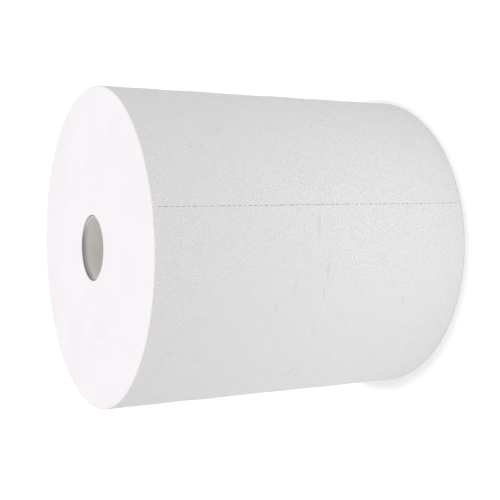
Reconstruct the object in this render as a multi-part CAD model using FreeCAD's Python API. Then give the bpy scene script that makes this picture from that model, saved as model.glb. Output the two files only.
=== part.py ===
# A perforated paper towel roll, standing on one end.
# One long sheet of embossed paper is wound on a paperboard tube. Millimetres, +Z up along the roll's axis,
# origin at the centre of the end that the roll stands on. -Y is the front, where a perforation shows.
import FreeCAD, Part
import math
import os

from FreeCAD import Vector

# Driving dimensions of the wound sheet
ROLL_WIDTH = 210.0
ROLL_RADIUS = 98.5
SHEET_THICKNESS = 0.3
END_BEVEL = 0.8

# Driving dimensions of the tube
CORE_BORE_RADIUS = 19.0
CORE_WALL = 0.6
CORE_SHORTFALL = 0.4
CORE_CLEARANCE = 0.1
CORE_LOOSE_GAP = 0.9
CORE_LOOSE_ANGLE = 95.0

# The sheet tears off along rows of slits, one sheet length apart round the roll
SHEET_LENGTH = 250.0
PERFORATION_ANGLE = -77.3
SLIT_LENGTH = 2.4
SLIT_BOND = 1.0
SLIT_WIDTH = 0.6
SLIT_EDGE_MARGIN = 2.5

# The turns show on both ends as one spiral line, each turn of it standing for a bundle of real turns
BUNDLE_PITCH = 10.5
BUNDLE_INNER_MARGIN = 4.0
BUNDLE_OUTER_MARGIN = 5.0
BUNDLE_LINE_WIDTH = 0.6
BUNDLE_LINE_DEPTH = 0.3

QUARTERS = 4
QUARTER_TURN = 90.0
FULL_TURN = 360.0

core_outer_radius = CORE_BORE_RADIUS + CORE_WALL
roll_hole_radius = core_outer_radius + CORE_CLEARANCE + CORE_LOOSE_GAP / 2
sheet_turn = math.degrees(SHEET_LENGTH / ROLL_RADIUS)
tail_angle = PERFORATION_ANGLE + sheet_turn


def radial(angle, length=1.0):
    """A horizontal vector at an angle in degrees from +X."""
    return Vector(math.cos(math.radians(angle)) * length, math.sin(math.radians(angle)) * length, 0)


def spiral_quarters(start_angle, start_radius, pitch, count):
    """Centres, radii and start angles of the quarter arcs of a spiral that closes in by pitch in each turn.

    The arcs meet in tangent, because each centre steps along the radius that two arcs share.
    """
    step = pitch / QUARTERS
    first, second = radial(start_angle - QUARTER_TURN), radial(start_angle - 2 * QUARTER_TURN)
    centre = (first + second) * (-step / 2)
    radius = start_radius
    quarters = []
    for index in range(count):
        angle = start_angle - index * QUARTER_TURN
        quarters.append((centre, radius, angle))
        centre = centre + radial(angle - QUARTER_TURN, step)
        radius -= step
    return quarters


def wind(section, quarters):
    """One solid of a section swept through quarter turns: its points are (out from the spiral, height)."""
    solids = []
    for centre, radius, angle in quarters:
        outward = radial(angle)
        corners = [centre + outward * (radius + out) + Vector(0, 0, height) for out, height in section]
        face = Part.Face(Part.makePolygon(corners + corners[:1]))
        solids.append(face.revolve(centre, Vector(0, 0, -1), QUARTER_TURN))
    return solids[0].multiFuse(solids[1:]).removeSplitter()


def wound_blank():
    """The wound sheet before its hole and slits: a spiral outline with the tail edge as its one step."""
    depth = ROLL_RADIUS - CORE_BORE_RADIUS
    section = [
        (-depth, 0),
        (-END_BEVEL, 0),
        (0, END_BEVEL),
        (0, ROLL_WIDTH - END_BEVEL),
        (-END_BEVEL, ROLL_WIDTH),
        (-depth, ROLL_WIDTH),
    ]
    return wind(section, spiral_quarters(tail_angle, ROLL_RADIUS, SHEET_THICKNESS, QUARTERS))


def bundle_line(end_height, inward):
    """The V-shaped spiral line cut in one end: inward is the sign of the way into the roll."""
    outer_radius = ROLL_RADIUS - BUNDLE_OUTER_MARGIN
    run = outer_radius - roll_hole_radius - BUNDLE_INNER_MARGIN
    count = int(QUARTERS * run / BUNDLE_PITCH)
    mouth = end_height - inward * BUNDLE_LINE_DEPTH
    bottom = end_height + inward * BUNDLE_LINE_DEPTH
    section = [(BUNDLE_LINE_WIDTH, mouth), (-BUNDLE_LINE_WIDTH, mouth), (0, bottom)]
    return wind(section, spiral_quarters(tail_angle, outer_radius, BUNDLE_PITCH, count))


def slit_row(angle):
    """One row of V-shaped tear-off slits through the outermost turn, at an angle round the roll."""
    surface = ROLL_RADIUS - SHEET_THICKNESS * (tail_angle - angle) / FULL_TURN
    pitch = SLIT_LENGTH + SLIT_BOND
    count = int((ROLL_WIDTH - 2 * SLIT_EDGE_MARGIN + SLIT_BOND) / pitch)
    first = (ROLL_WIDTH - count * pitch + SLIT_BOND) / 2
    slits = []
    for index in range(count):
        foot = first + index * pitch
        corners = [
            Vector(surface + SHEET_THICKNESS, -SLIT_WIDTH, foot),
            Vector(surface + SHEET_THICKNESS, SLIT_WIDTH, foot),
            Vector(surface - SHEET_THICKNESS, 0, foot),
        ]
        slit = Part.Face(Part.makePolygon(corners + corners[:1])).extrude(Vector(0, 0, SLIT_LENGTH))
        slit.rotate(Vector(0, 0, 0), Vector(0, 0, 1), angle)
        slits.append(slit)
    return slits


def towel_roll():
    """The wound sheet: blank, tube hole, turn lines on both ends, and rows of slits on the outermost turn."""
    hole = Part.makeCylinder(roll_hole_radius, ROLL_WIDTH, radial(CORE_LOOSE_ANGLE, CORE_LOOSE_GAP / 2))
    slits = slit_row(PERFORATION_ANGLE) + slit_row(PERFORATION_ANGLE - sheet_turn)
    return wound_blank().cut([hole, bundle_line(0, 1), bundle_line(ROLL_WIDTH, -1)] + slits)


def core_tube():
    """The paperboard tube that the sheet is wound on, a little short of both ends."""
    length = ROLL_WIDTH - 2 * CORE_SHORTFALL
    foot = Vector(0, 0, CORE_SHORTFALL)
    return Part.makeCylinder(core_outer_radius, length, foot).cut(
        Part.makeCylinder(CORE_BORE_RADIUS, length, foot)
    )


os.makedirs("parts", exist_ok=True)
towel_roll().exportStep("parts/towel_roll.step")
core_tube().exportStep("parts/core_tube.step")
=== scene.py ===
# A paper towel roll standing on one end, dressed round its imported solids.
# Sizes are in metres in the part's own frame: +Z up along the roll's axis, -Y the front.
import math

import bmesh
import bpy
from mathutils import Matrix, Vector


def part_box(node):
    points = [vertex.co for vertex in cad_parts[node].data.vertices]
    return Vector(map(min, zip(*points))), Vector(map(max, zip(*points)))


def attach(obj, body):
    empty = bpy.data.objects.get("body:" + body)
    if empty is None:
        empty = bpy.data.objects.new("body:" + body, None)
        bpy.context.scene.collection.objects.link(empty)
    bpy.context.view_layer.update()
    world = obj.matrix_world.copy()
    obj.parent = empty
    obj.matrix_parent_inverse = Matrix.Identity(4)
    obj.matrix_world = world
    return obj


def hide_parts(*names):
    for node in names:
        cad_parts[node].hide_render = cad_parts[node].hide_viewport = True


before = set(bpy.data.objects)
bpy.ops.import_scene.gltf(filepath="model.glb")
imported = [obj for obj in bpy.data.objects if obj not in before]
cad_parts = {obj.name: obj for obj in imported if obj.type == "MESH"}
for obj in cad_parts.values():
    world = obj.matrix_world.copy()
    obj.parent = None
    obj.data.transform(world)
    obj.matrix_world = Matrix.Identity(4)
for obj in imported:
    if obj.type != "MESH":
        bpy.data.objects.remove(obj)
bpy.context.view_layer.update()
bpy.context.scene.view_settings.view_transform = "Standard"

# The wound sheet. About 97 m of two-ply embossed towel is wound on the tube and sawn square at both ends.
# Its outermost turn ends in a torn tail at the back, and two rows of slits cross it.
ROLL_LOW, ROLL_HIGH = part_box("towel_roll")
ROLL_WIDTH = ROLL_HIGH.z - ROLL_LOW.z
ROLL_RADIUS = 0.0985
SHEET_THICKNESS = 0.0003
SHEET_LENGTH = 0.250
FRONT_SLITS_ANGLE = math.radians(-77.3)
TAIL_ANGLE = FRONT_SLITS_ANGLE + SHEET_LENGTH / ROLL_RADIUS
HOLE_RADIUS = 0.02015
HOLE_OFFSET = 0.00045
HOLE_ANGLE = math.radians(95.0)
HOLE_ROUND = 0.0005
HOLE_ROUND_STEPS = 3
END_ROUND = 0.0008
END_ROUND_STEPS = 4
COLUMNS = 320
COLUMN_ANGLE = math.tau / COLUMNS
COLUMN_PHASE = 0.25
ROWS = 110
END_RINGS = 24
SMOOTH_ANGLE = math.radians(28)

# How deep from the surface the outline's shape reaches, and how far out from the hole its offset does.
OUTLINE_REACH = 0.006
OFFSET_REACH = 0.004

# The tail's step, how far the last sheet stands off the turn below, and the teeth of its torn edge.
TAIL_STEP_ANGLE = math.radians(0.03)
TAIL_LIFT = 0.0008
TAIL_LIFT_REACH = math.radians(9.0)
TAIL_LIFT_STEADY = 0.6
TAIL_LIFT_SWAY = 0.4
TAIL_LIFT_WAVE = 90.0
TAIL_TEETH = 0.0006
TAIL_TOOTH_PITCH = 0.0034

# The sawn ends aren't quite flat: they dip by up to this much, in lobes and twisting ripples.
END_DENT = 0.00012
END_DENT_MARGIN = 0.003
END_DENT_RIPPLE = 420.0
END_DENT_TWIST = 2
END_DENT_TWIST_LOBES = 2
END_DENT_LOBES = 3
END_DENT_LEAN = 90.0

# Creases and soft ridges of the outermost turn: angle in degrees and height of the middle, half length
# round the roll in degrees, half width along it, how far it stands out, and how far it leans over its
# half length.
CREASES = [
    (-85.0, 0.1067, 6.0, 0.0030, 0.00022, 0.0010),
    (-100.5, 0.1012, 7.5, 0.0018, -0.00030, -0.0010),
    (-103.0, 0.1582, 3.5, 0.0014, -0.00018, 0.0),
    (-104.0, 0.1336, 9.5, 0.0022, 0.00014, -0.0030),
    (-108.8, 0.0451, 3.5, 0.0016, -0.00022, -0.0006),
    (-81.2, 0.0430, 3.0, 0.0016, -0.00014, 0.0010),
    (-72.0, 0.0666, 3.0, 0.0018, -0.00012, 0.0020),
    (-141.7, 0.1052, 3.2, 0.0020, -0.00030, 0.0060),
    (-106.0, 0.1083, 20.0, 0.0110, 0.00030, -0.0040),
    (-95.0, 0.0560, 12.0, 0.0080, 0.00018, 0.0030),
    (-118.0, 0.1865, 2.5, 0.0020, -0.00012, 0.0),
    (-131.0, 0.0365, 2.5, 0.0016, -0.00014, 0.0010),
    (20.0, 0.1500, 14.0, 0.0060, 0.00022, 0.0030),
    (58.0, 0.0700, 9.0, 0.0025, -0.00025, -0.0020),
    (150.0, 0.1200, 16.0, 0.0080, 0.00025, 0.0040),
    (110.0, 0.0450, 7.0, 0.0020, -0.00022, 0.0010),
]

# Slow waves of the outermost turn: length along the axis, and how many times the sway comes round.
WAVE_HEIGHT = 0.00007
WAVE_SWAY = 2
WAVES = [(0.047, 3), (0.031, 5), (0.073, 2)]


def start_fresh():
    """Leaves nothing selected, so that the next operators act on the new piece alone."""
    bpy.ops.object.select_all(action="DESELECT")


def take_up(piece):
    """Selects one piece alone and makes it the one that operators act on."""
    start_fresh()
    bpy.context.view_layer.objects.active = piece
    piece.select_set(True)


def select_edges(piece, test):
    """Selects the edges of the mesh being edited for which a test holds, and nothing else."""
    bpy.ops.mesh.select_mode(type="EDGE")
    bpy.ops.mesh.select_all(action="DESELECT")
    mesh_edit = bmesh.from_edit_mesh(piece.data)
    for edge in mesh_edit.edges:
        if test(edge):
            edge.select_set(True)
    mesh_edit.select_flush_mode()
    bmesh.update_edit_mesh(piece.data)


def turn_faces_out():
    """Makes every face of the mesh being edited point outwards, and leaves edit mode."""
    bpy.ops.mesh.select_all(action="SELECT")
    bpy.ops.mesh.normals_make_consistent(inside=False)
    bpy.ops.object.mode_set(mode="OBJECT")


def distance_out(point):
    """How far a point lies from the roll's axis."""
    return math.hypot(point.x, point.y)


def turn_behind_tail(point):
    """How far round from the tail edge a point lies, clockwise from above, from 0 to one turn."""
    return (TAIL_ANGLE - math.atan2(point.y, point.x)) % math.tau


def wrapped(angle):
    """An angle brought between minus and plus half a turn."""
    return (angle + math.pi) % math.tau - math.pi


def paper_relief(angle, height):
    """How far the outermost turn stands out at a place: slow waves and its few creases."""
    relief = 0
    for length, turns in WAVES:
        swayed = height / length * math.tau + WAVE_SWAY * math.sin(turns * angle) + turns
        relief += WAVE_HEIGHT * math.sin(swayed)
    for degrees, middle, half_length, half_width, out, lean in CREASES:
        along = wrapped(angle - math.radians(degrees)) / math.radians(half_length)
        across = (height - middle - lean * along) / half_width
        relief += out * math.exp(-along * along - across * across)
    return relief


def tail_lift(turned, height):
    """How far the last sheet stands off the turn below, most at the tail edge."""
    share = TAIL_LIFT_STEADY + TAIL_LIFT_SWAY * math.cos(height * TAIL_LIFT_WAVE)
    return TAIL_LIFT * math.exp(-((turned / TAIL_LIFT_REACH) ** 2)) * share


def end_dent(out, angle):
    """How far a place on an end lies inside the end's plane."""
    twist = END_DENT_TWIST * math.sin(END_DENT_TWIST_LOBES * angle)
    ripple = math.sin(out * END_DENT_RIPPLE + twist)
    return END_DENT * (1 + ripple * math.cos(END_DENT_LOBES * angle + out * END_DENT_LEAN)) / 2


def runs_up(edge):
    """True for an edge that goes from one end of the roll to the other."""
    return abs(edge.verts[0].co.z - edge.verts[1].co.z) > ROLL_WIDTH / 2


def at_hole(edge):
    """True for an edge on the wall or the rims of the hole."""
    return all(distance_out(v.co) < HOLE_RADIUS + HOLE_ROUND / 2 for v in edge.verts)


def at_outer_rim(edge):
    """True for an edge where the side meets an end."""
    return all(
        min(abs(v.co.z - ROLL_LOW.z), abs(v.co.z - ROLL_HIGH.z)) < END_ROUND / 2
        and distance_out(v.co) > ROLL_RADIUS - END_ROUND
        for v in edge.verts
    )


# The blank is a tube with rows of faces, closed at both ends by rings down to the hole.
start_fresh()
bpy.ops.mesh.primitive_cylinder_add(
    vertices=COLUMNS,
    radius=ROLL_RADIUS,
    depth=ROLL_WIDTH,
    end_fill_type="NOTHING",
    location=(0, 0, ROLL_LOW.z + ROLL_WIDTH / 2),
    rotation=(0, 0, 0),
)
roll = bpy.context.object
roll.name = "wound_sheet"
bpy.ops.object.transform_apply(location=True, rotation=False, scale=False)
bpy.ops.object.mode_set(mode="EDIT")
select_edges(roll, runs_up)
bpy.ops.mesh.subdivide(number_cuts=ROWS)
for end in (ROLL_LOW.z, ROLL_HIGH.z):
    select_edges(roll, lambda edge: all(abs(v.co.z - end) < END_ROUND / 2 for v in edge.verts))
    for ring in range(1, END_RINGS + 1):
        before = ROLL_RADIUS + (HOLE_RADIUS - ROLL_RADIUS) * (ring - 1) / END_RINGS
        after = ROLL_RADIUS + (HOLE_RADIUS - ROLL_RADIUS) * ring / END_RINGS
        bpy.ops.mesh.extrude_edges_move()
        bpy.ops.transform.resize(value=(after / before, after / before, 1))
select_edges(roll, at_hole)
bpy.ops.mesh.bridge_edge_loops()
select_edges(roll, lambda edge: at_hole(edge) and not runs_up(edge))
bpy.ops.mesh.bevel(offset=HOLE_ROUND, segments=HOLE_ROUND_STEPS, profile=0.5, affect="EDGES")
select_edges(roll, at_outer_rim)
bpy.ops.mesh.bevel(offset=END_ROUND, segments=END_ROUND_STEPS, profile=0.5, affect="EDGES")
turn_faces_out()

# The outline closes in by one sheet over the turn, from the torn tail edge to where the next turn passes
# under it. The first column of vertices wanders with the teeth of the tear.
for vertex in roll.data.vertices:
    place = vertex.co
    out = distance_out(place)
    column = round(turn_behind_tail(place) / COLUMN_ANGLE - COLUMN_PHASE) % COLUMNS
    turned = column * COLUMN_ANGLE
    if column == COLUMNS - 1:
        turned = math.tau - TAIL_STEP_ANGLE
    if column == 0:
        turned = TAIL_TEETH * (1 + math.sin(place.z * math.tau / TAIL_TOOTH_PITCH)) / 2 / ROLL_RADIUS
    angle = TAIL_ANGLE - turned
    rise = paper_relief(angle, place.z) + tail_lift(turned, place.z) - SHEET_THICKNESS * turned / math.tau
    out += max(0.0, (out - ROLL_RADIUS + OUTLINE_REACH) / OUTLINE_REACH) * rise
    if HOLE_RADIUS + END_DENT_MARGIN < out < ROLL_RADIUS - END_DENT_MARGIN:
        dent = end_dent(out, angle)
        place.z += dent if place.z < ROLL_WIDTH / 2 else -dent
    offset = max(0.0, 1 - (out - HOLE_RADIUS) / OFFSET_REACH) * HOLE_OFFSET
    place.x = out * math.cos(angle) + offset * math.cos(HOLE_ANGLE)
    place.y = out * math.sin(angle) + offset * math.sin(HOLE_ANGLE)

# A knife with one blade for each slit cuts a row of slits. The blades differ a little in width, and each
# row leans a little round the roll from one end to the other.
SLIT_LENGTH = 0.0024
SLIT_BOND = 0.0010
SLIT_WIDTH = 0.00027
SLIT_LEAN = math.radians(1.6)
SLIT_DEPTH = 0.00035
SLIT_UNEVEN = 0.55
SLIT_UNEVEN_TURN = 2.4
SLIT_EDGE_MARGIN = 0.0025
SLIT_PITCH = SLIT_LENGTH + SLIT_BOND
SLIT_COUNT = int((ROLL_WIDTH - 2 * SLIT_EDGE_MARGIN + SLIT_BOND) / SLIT_PITCH)
SLIT_FOOT = (ROLL_WIDTH - SLIT_COUNT * SLIT_PITCH + SLIT_BOND) / 2
SLIT_ROWS = [FRONT_SLITS_ANGLE, FRONT_SLITS_ANGLE - SHEET_LENGTH / ROLL_RADIUS]
BLADE_SIDES = 3


def slit_angle(row, height):
    """Where a row of slits lies round the roll at a height: the sheet is wound a little out of square."""
    return row + SLIT_LEAN * (0.5 - height / ROLL_WIDTH)


def slit_blade(row, index):
    """One blade of a row: a three-sided bar along the axis, with one edge towards the axis."""
    foot = SLIT_FOOT + index * SLIT_PITCH
    middle = foot + SLIT_LENGTH / 2
    angle = slit_angle(row, foot)
    turned = (TAIL_ANGLE - row) % math.tau
    surface = ROLL_RADIUS - SHEET_THICKNESS * turned / math.tau
    out = paper_relief(angle, middle) + surface
    half_width = SLIT_WIDTH * (1 + SLIT_UNEVEN * math.sin(index * SLIT_UNEVEN_TURN))
    mouth = out + SHEET_THICKNESS
    corners = [(mouth, -half_width), (mouth, half_width), (out - SLIT_DEPTH, 0)]
    start_fresh()
    bpy.ops.mesh.primitive_cylinder_add(
        vertices=BLADE_SIDES, radius=1.0, depth=SLIT_LENGTH, location=(0, 0, middle), rotation=(0, 0, 0)
    )
    blade = bpy.context.object
    for vertex in blade.data.vertices:
        far, aside = corners[vertex.index // 2]
        vertex.co.x = far * math.cos(angle) - aside * math.sin(angle)
        vertex.co.y = far * math.sin(angle) + aside * math.cos(angle)
    return blade


for row in SLIT_ROWS:
    blades = [slit_blade(row, index) for index in range(SLIT_COUNT)]
    for blade in blades:
        blade.select_set(True)
    bpy.context.view_layer.objects.active = blades[0]
    bpy.ops.object.join()
    knife = bpy.context.object
    bpy.ops.object.mode_set(mode="EDIT")
    turn_faces_out()
    modifier = roll.modifiers.new("cut", "BOOLEAN")
    modifier.operation = "DIFFERENCE"
    modifier.solver = "EXACT"
    modifier.object = knife
    take_up(roll)
    bpy.ops.object.modifier_apply(modifier=modifier.name)
    bpy.data.objects.remove(knife)

take_up(roll)
bpy.ops.object.shade_smooth_by_angle(angle=SMOOTH_ANGLE)

# A map for the emboss: distance round the roll from the tail, and height, both in metres.
map_layer = roll.data.uv_layers.new(name="round_and_up")
for face in roll.data.polygons:
    middle = turn_behind_tail(face.center)
    for corner in face.loop_indices:
        place = roll.data.vertices[roll.data.loops[corner].vertex_index].co
        turned = middle + wrapped(turn_behind_tail(place) - middle)
        map_layer.data[corner].uv = (turned * ROLL_RADIUS, place.z)

# The sockets of a Mix node by number, when it mixes colours.
MIX_FACTOR = 0
MIX_LOW = 6
MIX_HIGH = 7
MIX_RESULT = 2


class Wire:
    """One output in a material's nodes. Python's operators on it add Math nodes."""

    def __init__(self, tree, socket=None):
        self.tree = tree
        self.socket = socket

    def node(self, kind, values=None, output=0, **settings):
        """Any node: its settings first, then the values or wires of its sockets by name or number."""
        made = self.tree.nodes.new(kind)
        for name, setting in settings.items():
            setattr(made, name, setting)
        for name, value in (values or {}).items():
            if isinstance(value, Wire):
                self.tree.links.new(value.socket, made.inputs[name])
            else:
                made.inputs[name].default_value = value
        return Wire(self.tree, made.outputs[output]) if made.outputs else made

    def math(self, operation, *others):
        """This number, and another if the operation takes two, through one Math node."""
        return self.node("ShaderNodeMath", dict(enumerate((self,) + others)), operation=operation)

    def __add__(self, other):
        return self.math("ADD", other)

    def __sub__(self, other):
        return self.math("SUBTRACT", other)

    def __mul__(self, other):
        return self.math("MULTIPLY", other)

    def __truediv__(self, other):
        return self.math("DIVIDE", other)

    def __rsub__(self, other):
        return self.node("ShaderNodeMath", {0: other, 1: self}, operation="SUBTRACT")

    def __rtruediv__(self, other):
        return self.node("ShaderNodeMath", {0: other, 1: self}, operation="DIVIDE")

    __radd__ = __add__
    __rmul__ = __mul__

    def wave(self):
        """The cosine of this many whole turns."""
        return (self * math.tau).math("COSINE")

    def ramp(self, low, high):
        """0 below low, 1 above high, smooth between."""
        bounds = {"Value": self, "From Min": low, "From Max": high}
        return self.node("ShaderNodeMapRange", bounds, interpolation_type="SMOOTHSTEP")

    def colours(self, low, high):
        """A colour that goes from low to high as this number goes from 0 to 1."""
        values = {MIX_FACTOR: self, MIX_LOW: low, MIX_HIGH: high}
        return self.node("ShaderNodeMix", values, output=MIX_RESULT, data_type="RGBA")

    def place(self):
        """Where on the piece, in metres."""
        return self.node("ShaderNodeTexCoord", output="Object")

    def parts(self):
        """The three numbers of this vector."""
        split = self.tree.nodes.new("ShaderNodeSeparateXYZ")
        self.tree.links.new(self.socket, split.inputs[0])
        return [Wire(self.tree, output) for output in split.outputs]

    def noise(self, scale, detail, roughness=0.5):
        """A soft noise over this vector, about 0.5 on average."""
        values = {"Vector": self, "Scale": scale, "Detail": detail, "Roughness": roughness}
        return self.node("ShaderNodeTexNoise", values)


def new_finish(name, roughness, specular):
    """A plain material with its nodes, and a wire to start from."""
    finish = bpy.data.materials.new(name)
    finish.use_nodes = True
    shader = finish.node_tree.nodes["Principled BSDF"]
    shader.inputs["Roughness"].default_value = roughness
    shader.inputs["Specular IOR Level"].default_value = specular
    return finish, Wire(finish.node_tree)


def dress(finish, colour, height=None):
    """Gives a material its colour and, where a height in metres is given, its fine relief."""
    tree = finish.node_tree
    shader = tree.nodes["Principled BSDF"]
    tree.links.new(colour.socket, shader.inputs["Base Color"])
    if height is not None:
        surface = height.node("ShaderNodeBump", {"Strength": 1.0, "Distance": 1.0, "Height": height})
        tree.links.new(surface.socket, shader.inputs["Normal"])


def out_from_axis(east, north):
    """The distance of a place from the roll's axis, as a wire."""
    return (east * east + north * north).math("SQRT")


# The face of the towel: a lattice of small embossed diamonds, with painted shade darkening their hollows,
# not equally crisp everywhere, and a few sharp folds pressed flat, with painted shade along them.
PAPER_ROUGHNESS = 0.95
PAPER_SPECULAR = 0.25
PAPER_COLOUR = (0.852, 0.837, 0.845, 1)
# The hollows' colour is painted shade, darker than the paper's own.
PAPER_HOLLOW_SHADE_COLOUR = (0.708, 0.694, 0.701, 1)
EMBOSS_ROUND = 0.00172
EMBOSS_UP = 0.00180
EMBOSS_DEPTH = 0.00016
EMBOSS_MEAN = 0.28
DIAMOND_RANGE = (-0.2, 0.9)
MOTTLE_SCALE = 140.0
MOTTLE_RANGE = (0.3, 0.7)
CRISP_LEAST = 0.7
CRISP_SPREAD = 0.25
FIBRE_SCALE = 7000.0
FIBRE_HEIGHT = 0.000012
# Painted shade in the folds.
FOLD_SHADE_COLOUR = (0.42, 0.41, 0.415, 1)
FOLD_DEPTH = 0.0003

# Each fold: angle in degrees and height of its middle, half length round the roll in degrees, half width
# along it, how far it leans over its half length, and its painted shade, which also sets its depth.
FOLDS = [
    (-84.7, 0.1073, 6.6, 0.0016, -0.0008, 0.11),
    (-97.6, 0.1010, 5.6, 0.0013, -0.0004, 0.10),
    (-100.3, 0.1013, 3.6, 0.0009, -0.0004, 0.14),
    (-107.6, 0.1025, 3.4, 0.0008, 0.0001, 0.22),
    (-112.0, 0.1036, 2.0, 0.0009, 0.0006, 0.08),
    (-121.6, 0.1044, 4.4, 0.0016, 0.0011, 0.07),
    (-111.7, 0.0440, 2.3, 0.0009, 0.0007, 0.24),
    (-111.8, 0.1336, 2.0, 0.0011, 0.0004, 0.13),
    (-79.6, 0.0434, 3.0, 0.0012, -0.0006, 0.09),
    (-141.9, 0.1056, 2.6, 0.0011, -0.0012, 0.22),
    (-143.5, 0.1078, 1.4, 0.0014, 0.0008, 0.12),
    (-145.5, 0.1005, 1.2, 0.0030, 0.0, 0.10),
    (-71.9, 0.0666, 3.0, 0.0012, -0.0011, 0.06),
    (-90.5, 0.1200, 0.4, 0.0042, 0.0003, 0.14),
    (-105.0, 0.1225, 5.0, 0.0018, -0.0004, 0.07),
    (-96.0, 0.1312, 2.2, 0.0009, 0.0, 0.10),
    (57.0, 0.0705, 5.0, 0.0012, 0.0010, 0.12),
    (152.0, 0.1400, 4.5, 0.0011, -0.0009, 0.10),
    (8.0, 0.0480, 3.5, 0.0010, 0.0006, 0.10),
]
paper_face, wire = new_finish("embossed_towel", PAPER_ROUGHNESS, PAPER_SPECULAR)
across, up, _ = wire.node("ShaderNodeUVMap", uv_map="round_and_up").parts()
dots = ((across / EMBOSS_ROUND).wave() * (up / EMBOSS_UP).wave()).ramp(*DIAMOND_RANGE)
mottle = wire.place().noise(MOTTLE_SCALE, 3.0, 0.6)
crisp = mottle.ramp(*MOTTLE_RANGE) * CRISP_SPREAD + CRISP_LEAST
soft_dots = (dots - EMBOSS_MEAN) * crisp + EMBOSS_MEAN
fibres = wire.place().noise(FIBRE_SCALE, 2.0, 0.6)
folds = 0
for degrees, height, half_degrees, half_width, lean, fold_shade in FOLDS:
    middle = (TAIL_ANGLE - math.radians(degrees)) % math.tau * ROLL_RADIUS
    along = (across - middle) / (math.radians(half_degrees) * ROLL_RADIUS)
    aside = (up - height + along * lean) / half_width
    folds = folds + (1 - (along * along + aside * aside).ramp(0.0, 1.0)) * fold_shade
paper = soft_dots.colours(PAPER_COLOUR, PAPER_HOLLOW_SHADE_COLOUR)
relief = fibres * FIBRE_HEIGHT - soft_dots * EMBOSS_DEPTH - folds * FOLD_DEPTH
dress(paper_face, folds.colours(paper, FOLD_SHADE_COLOUR), relief)

# The sawn ends: the edges of the turns, as fine rings that wander a little, and one faint spiral line
# between bundles of turns.
BUNDLE_PITCH = 0.0105
BUNDLE_OUTER_MARGIN = 0.005
BUNDLE_LINE_SHARE = 0.02
BUNDLE_LINE_DEPTH = 0.00006
RING_PITCH = 0.0009
RING_WANDER = 0.002
RING_WANDER_SCALE = 18.0
RING_HEIGHT = 0.000012
PATCH_SCALE = 30.0
PATCH_RANGE = (0.35, 0.7)
CUT_COLOUR = (0.870, 0.842, 0.868, 1)
CUT_DARK_COLOUR = (0.845, 0.812, 0.842, 1)
paper_cut, wire = new_finish("sawn_towel_ends", PAPER_ROUGHNESS, PAPER_SPECULAR)
place = wire.place()
east, north, _ = place.parts()
radius = out_from_axis(east, north)
wander = place.noise(RING_WANDER_SCALE, 2.0) * RING_WANDER
rings = ((radius + wander) / RING_PITCH).wave()
patches = place.noise(PATCH_SCALE, 3.0).ramp(*PATCH_RANGE)
turns_in = (ROLL_RADIUS - BUNDLE_OUTER_MARGIN - radius) / BUNDLE_PITCH
turned = (TAIL_ANGLE - north.math("ARCTAN2", east)) / math.tau
from_line = ((turns_in - turned).math("FRACT") - 0.5).math("ABSOLUTE")
line = from_line.ramp(0.5 - BUNDLE_LINE_SHARE, 0.5)
relief = rings * RING_HEIGHT - line * BUNDLE_LINE_DEPTH
dress(paper_cut, patches.colours(CUT_COLOUR, CUT_DARK_COLOUR), relief)

# The walls of the slits lie in shade, and so does the step under the torn tail.
SLIT_COLOUR = (0.40, 0.39, 0.39, 1)
slit_walls, wire = new_finish("slit_walls", PAPER_ROUGHNESS, PAPER_SPECULAR)
fibres = wire.place().noise(FIBRE_SCALE, 2.0, 0.6)
dress(slit_walls, fibres.colours(SLIT_COLOUR, PAPER_HOLLOW_SHADE_COLOUR))

# The paper's wall round the hole is painted dark grey in faint patches: painted shade for the gap by the
# tube.
HOLE_WALL_ROUGHNESS = 0.9
HOLE_SHADE_SCALE = 3500.0
HOLE_SHADE_RANGE = (0.45, 0.9)
HOLE_WALL_SHADE_COLOUR = (0.42, 0.41, 0.40, 1)
hole_wall_shade, wire = new_finish("shaded_hole_wall", HOLE_WALL_ROUGHNESS, PAPER_SPECULAR)
hole_shade_patches = wire.place().noise(HOLE_SHADE_SCALE, 2.0, 0.6).ramp(*HOLE_SHADE_RANGE)
dress(hole_wall_shade, hole_shade_patches.colours(HOLE_WALL_SHADE_COLOUR, SLIT_COLOUR))

# Each face of the sheet takes its finish by where it lies and which way it points.
FACE_FINISH = 0
CUT_FINISH = 1
SLIT_FINISH = 2
HOLE_SHADE_FINISH = 3
SIDE_TILT = 0.6
HOLE_WALL_TILT = 0.1
TORN_WALL_FACING = 0.9
for finish in (paper_face, paper_cut, slit_walls, hole_wall_shade):
    roll.data.materials.append(finish)
for face in roll.data.polygons:
    out = distance_out(face.center)
    outside = out > ROLL_RADIUS - 2 * END_ROUND and abs(face.normal.z) < SIDE_TILT
    facing_out = (face.normal.x * face.center.x + face.normal.y * face.center.y) / out
    angle = math.atan2(face.center.y, face.center.x)
    torn_places = [slit_angle(row, face.center.z) for row in SLIT_ROWS] + [TAIL_ANGLE]
    aside = min(abs(wrapped(angle - torn)) for torn in torn_places) * ROLL_RADIUS
    face.material_index = FACE_FINISH if outside else CUT_FINISH
    # The paper's wall round the hole takes the painted shade of the gap by the tube.
    if out < HOLE_RADIUS + 2 * HOLE_OFFSET and abs(face.normal.z) < HOLE_WALL_TILT:
        face.material_index = HOLE_SHADE_FINISH
    if outside and aside < 2 * SLIT_WIDTH and facing_out < TORN_WALL_FACING:
        face.material_index = SLIT_FINISH
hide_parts("towel_roll")
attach(roll, "root")

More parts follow.
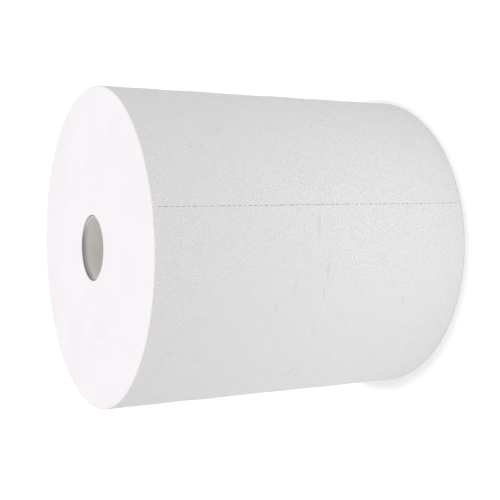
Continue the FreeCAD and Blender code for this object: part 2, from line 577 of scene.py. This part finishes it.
# The tube. It is grey-brown board, wound from strips in a steep spiral and cut a little short of the
# paper. The towel is wound round it, and nothing else holds it. Its mouth is pressed in a little on one
# side, where the paper stands loose.
TUBE_LOW, TUBE_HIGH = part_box("core_tube")
TUBE_BORE_RADIUS = 0.0190
TUBE_OUTER_RADIUS = 0.0196
TUBE_COLUMNS = 160
TUBE_EDGE_ANGLE = 1.0
TUBE_EDGE_ROUND = 0.00012
TUBE_EDGE_STEPS = 2
PRESS_DEPTH = 0.0008
PRESS_ANGLE = math.radians(114.0)
PRESS_SPREAD = math.radians(36.0)
PRESS_REACH = 0.009

# How far below the top each row of vertices lies: they stand close where the mouth is pressed in.
MOUTH_ROWS = [0.024, 0.018, 0.014, 0.011, 0.009, 0.007, 0.0055, 0.004, 0.0025, 0.001, 0.0]

start_fresh()
bpy.ops.mesh.primitive_circle_add(
    vertices=TUBE_COLUMNS, radius=TUBE_BORE_RADIUS, location=(0, 0, TUBE_LOW.z), rotation=(0, 0, 0)
)
tube = bpy.context.object
tube.name = "board_tube"
bpy.ops.object.transform_apply(location=True, rotation=False, scale=False)
bpy.ops.object.mode_set(mode="EDIT")
bpy.ops.mesh.select_all(action="SELECT")
reached = TUBE_LOW.z
for down in MOUTH_ROWS:
    bpy.ops.mesh.extrude_edges_move()
    bpy.ops.transform.translate(value=(0, 0, TUBE_HIGH.z - down - reached))
    reached = TUBE_HIGH.z - down
bpy.ops.mesh.select_all(action="SELECT")
bpy.ops.mesh.extrude_region()
wider = TUBE_OUTER_RADIUS / TUBE_BORE_RADIUS
bpy.ops.transform.resize(value=(wider, wider, 1))
select_edges(tube, lambda edge: edge.is_manifold and edge.calc_face_angle(0) > TUBE_EDGE_ANGLE)
bpy.ops.mesh.bevel(offset=TUBE_EDGE_ROUND, segments=TUBE_EDGE_STEPS, profile=0.5, affect="EDGES")
turn_faces_out()

for vertex in tube.data.vertices:
    aside = wrapped(math.atan2(vertex.co.y, vertex.co.x) - PRESS_ANGLE) / PRESS_SPREAD
    down = (TUBE_HIGH.z - vertex.co.z) / PRESS_REACH
    pressed = 1 - PRESS_DEPTH * math.exp(-aside * aside - down * down) / distance_out(vertex.co)
    vertex.co.x *= pressed
    vertex.co.y *= pressed
bpy.ops.object.shade_smooth_by_angle(angle=SMOOTH_ANGLE)

# The lining: speckled board with the seam of its strips, in shade under the pressed side of the mouth.
BOARD_ROUGHNESS = 0.6
BOARD_SPECULAR = 0.5
TUBE_COLOUR = (0.90, 0.88, 0.855, 1)
TUBE_FLECK_COLOUR = (0.82, 0.79, 0.76, 1)
TUBE_SHADE_COLOUR = (0.30, 0.29, 0.28, 1)
FLECK_SCALE = 900.0
FLECK_RANGE = (0.45, 0.75)
FLECK_SHARE = 0.5
FLECK_HEIGHT = 0.00002
BLOTCH_SCALE = 90.0
BLOTCH_RANGE = (0.3, 0.7)
BLOTCH_SHARE = 0.3
STRIP_LEAD = 0.085
STRIP_SEAM = 0.012
STRIP_SEAM_SHARE = 0.5
STRIP_SEAM_DEPTH = 0.00025
SHADE_REACH = 0.0035
SHADE_STRENGTH = 0.8
PRESSED_RANGE = (0.1, 0.8)


def pressed_side(east, north, radius):
    """1 on the pressed side of the mouth, 0 away from it."""
    return ((east * math.cos(PRESS_ANGLE) + north * math.sin(PRESS_ANGLE)) / radius).ramp(*PRESSED_RANGE)


board, wire = new_finish("core_board", BOARD_ROUGHNESS, BOARD_SPECULAR)
place = wire.place()
east, north, height = place.parts()
strip = (height / STRIP_LEAD - north.math("ARCTAN2", east) / math.tau).math("FRACT")
seam = 1 - (strip - 0.5).math("ABSOLUTE").ramp(0.0, STRIP_SEAM)
flecks = place.noise(FLECK_SCALE, 3.0, 0.7)
blotches = place.noise(BLOTCH_SCALE, 2.0)
speckle = flecks.ramp(*FLECK_RANGE) * FLECK_SHARE + blotches.ramp(*BLOTCH_RANGE) * BLOTCH_SHARE
tone = (speckle + seam * STRIP_SEAM_SHARE).math("MINIMUM", 1.0)
lining = tone.colours(TUBE_COLOUR, TUBE_FLECK_COLOUR)
at_mouth = 1 - (TUBE_HIGH.z - height).ramp(0.0, SHADE_REACH)
shade = pressed_side(east, north, TUBE_BORE_RADIUS) * at_mouth * SHADE_STRENGTH
relief = flecks * FLECK_HEIGHT - seam * STRIP_SEAM_DEPTH
dress(board, shade.colours(lining, TUBE_SHADE_COLOUR), relief)

# The cut ends show the grey inner plies, with painted shade on the side where the paper stands loose.
TUBE_CUT_ROUGHNESS = 0.95
TUBE_CUT_SPECULAR = 0.25
TUBE_CUT_COLOUR = (0.66, 0.645, 0.63, 1)
# Painted shade on the loose side of the cut ends.
TUBE_CUT_SHADE_COLOUR = (0.17, 0.165, 0.16, 1)
PLY_SCALE = 20000.0
PLY_HEIGHT = 0.00003
CUT_SHADE_LEAST = 0.7
CUT_SHADE_SPREAD = 0.4
board_cut, wire = new_finish("core_board_cut", TUBE_CUT_ROUGHNESS, TUBE_CUT_SPECULAR)
place = wire.place()
east, north, _ = place.parts()
plies = place.noise(PLY_SCALE, 2.0, 0.7)
cut_shade = pressed_side(east, north, TUBE_OUTER_RADIUS) * (plies * CUT_SHADE_SPREAD + CUT_SHADE_LEAST)
cut_tone = cut_shade.math("MINIMUM", 1.0).colours(TUBE_CUT_COLOUR, TUBE_CUT_SHADE_COLOUR)
dress(board_cut, cut_tone, plies * PLY_HEIGHT)

LINING_FINISH = 0
BOARD_CUT_FINISH = 1
BOARD_CUT_TILT = 0.3
tube.data.materials.append(board)
tube.data.materials.append(board_cut)
for face in tube.data.polygons:
    outside = face.normal.x * face.center.x + face.normal.y * face.center.y > 0
    at_cut = outside or abs(face.normal.z) > BOARD_CUT_TILT
    face.material_index = BOARD_CUT_FINISH if at_cut else LINING_FINISH
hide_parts("core_tube")
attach(tube, "root")

# The floor. It is plain and pale, and white to the camera. The roll's own shadow shows through that
# white, most of it close to the roll's foot.
FLOOR_SIZE = 8.0
FLOOR_DROP = 0.00005
FLOOR_ALBEDO = (0.9, 0.9, 0.9, 1)
WHITE = (1, 1, 1, 1)
WHITE_LEVEL = 1.3
SHADOW_NEAR = 0.85
SHADOW_FAR = 0.35
SHADOW_REACH = 0.010
SHADOW_ASIDE = 0.0025
start_fresh()
bpy.ops.mesh.primitive_plane_add(
    size=FLOOR_SIZE, location=(0, 0, ROLL_LOW.z - FLOOR_DROP), rotation=(0, 0, 0)
)
floor = bpy.context.object
floor.name = "floor"
floor_finish = bpy.data.materials.new("white_floor")
floor_finish.use_nodes = True
floor_finish.node_tree.nodes.clear()
wire = Wire(floor_finish.node_tree)
matte = wire.node("ShaderNodeBsdfDiffuse", {"Color": FLOOR_ALBEDO})
white = wire.node("ShaderNodeEmission", {"Color": WHITE, "Strength": WHITE_LEVEL})
east, north, _ = wire.place().parts()
away = out_from_axis(east + SHADOW_ASIDE, north).ramp(ROLL_RADIUS, ROLL_RADIUS + SHADOW_REACH)
seen = wire.node("ShaderNodeLightPath", output="Is Camera Ray")
whiteness = seen * (away * (SHADOW_NEAR - SHADOW_FAR) + (1 - SHADOW_NEAR))
shown = wire.node("ShaderNodeMixShader", {0: whiteness, 1: matte, 2: white})
wire.node("ShaderNodeOutputMaterial", {"Surface": shown})
floor.data.materials.append(floor_finish)

# The studio: a bright white room, one wide soft lamp overhead, and three low lamps that light the roll's
# foot from the front and from both sides.
ROOM_LEVEL = 0.66
OVERHEAD_PLACE = (0.03, -0.08, 1.1)
OVERHEAD_SIZE = 1.1
OVERHEAD_WATTS = 5.2
FOOT_DISTANCE = 0.32
FOOT_RISE = 0.02
FOOT_LENGTH = 0.4
FOOT_HEIGHT = 0.04
FOOT_FRONT_WATTS = 0.135
FOOT_LEFT_WATTS = 0.09
FOOT_RIGHT_WATTS = 0.02
world = bpy.data.worlds.new("white_room")
bpy.context.scene.world = world
world.use_nodes = True
world.node_tree.nodes.clear()
wire = Wire(world.node_tree)
seen = wire.node("ShaderNodeLightPath", output="Is Camera Ray")
level = seen * (1 - ROOM_LEVEL) + ROOM_LEVEL
room = wire.node("ShaderNodeBackground", {"Color": WHITE, "Strength": level})
wire.node("ShaderNodeOutputWorld", {"Surface": room})


def soft_lamp(name, place, target, width, height, watts):
    """A lamp with a soft rectangle of light at a place, turned to a target and not seen itself."""
    lamp = bpy.data.lights.new(name, "AREA")
    lamp.shape = "RECTANGLE"
    lamp.size = width
    lamp.size_y = height
    lamp.energy = watts
    holder = bpy.data.objects.new(name, lamp)
    bpy.context.scene.collection.objects.link(holder)
    holder.location = place
    holder.rotation_euler = (Vector(target) - Vector(place)).to_track_quat("-Z", "Y").to_euler()
    holder.visible_camera = False


soft_lamp("overhead", OVERHEAD_PLACE, (0, 0, 0), OVERHEAD_SIZE, OVERHEAD_SIZE, OVERHEAD_WATTS)
for name, side, forward, watts in (
    ("foot_front", 0, -FOOT_DISTANCE, FOOT_FRONT_WATTS),
    ("foot_left", -FOOT_DISTANCE, 0, FOOT_LEFT_WATTS),
    ("foot_right", FOOT_DISTANCE, 0, FOOT_RIGHT_WATTS),
):
    soft_lamp(name, (side, forward, FOOT_RISE), (0, 0, FOOT_RISE), FOOT_LENGTH, FOOT_HEIGHT, watts)

# The camera. It looks down on the front of the roll and is turned on its side, so that the roll's top is
# to the left of the picture.
CAMERA_PLACE = (-0.0036, -0.5618, 0.4032)
CAMERA_DOWN = math.radians(28.35)
CAMERA_ROLL = math.radians(-91.36)
CAMERA_LENS = 68.8
CAMERA_SENSOR = 36.0
camera_data = bpy.data.cameras.new("camera")
camera_data.lens = CAMERA_LENS
camera_data.sensor_width = CAMERA_SENSOR
camera = bpy.data.objects.new("camera", camera_data)
bpy.context.scene.collection.objects.link(camera)
turn = Matrix.Rotation(math.pi / 2 - CAMERA_DOWN, 4, "X") @ Matrix.Rotation(CAMERA_ROLL, 4, "Z")
camera.matrix_world = Matrix.Translation(CAMERA_PLACE) @ turn
bpy.context.scene.camera = camera
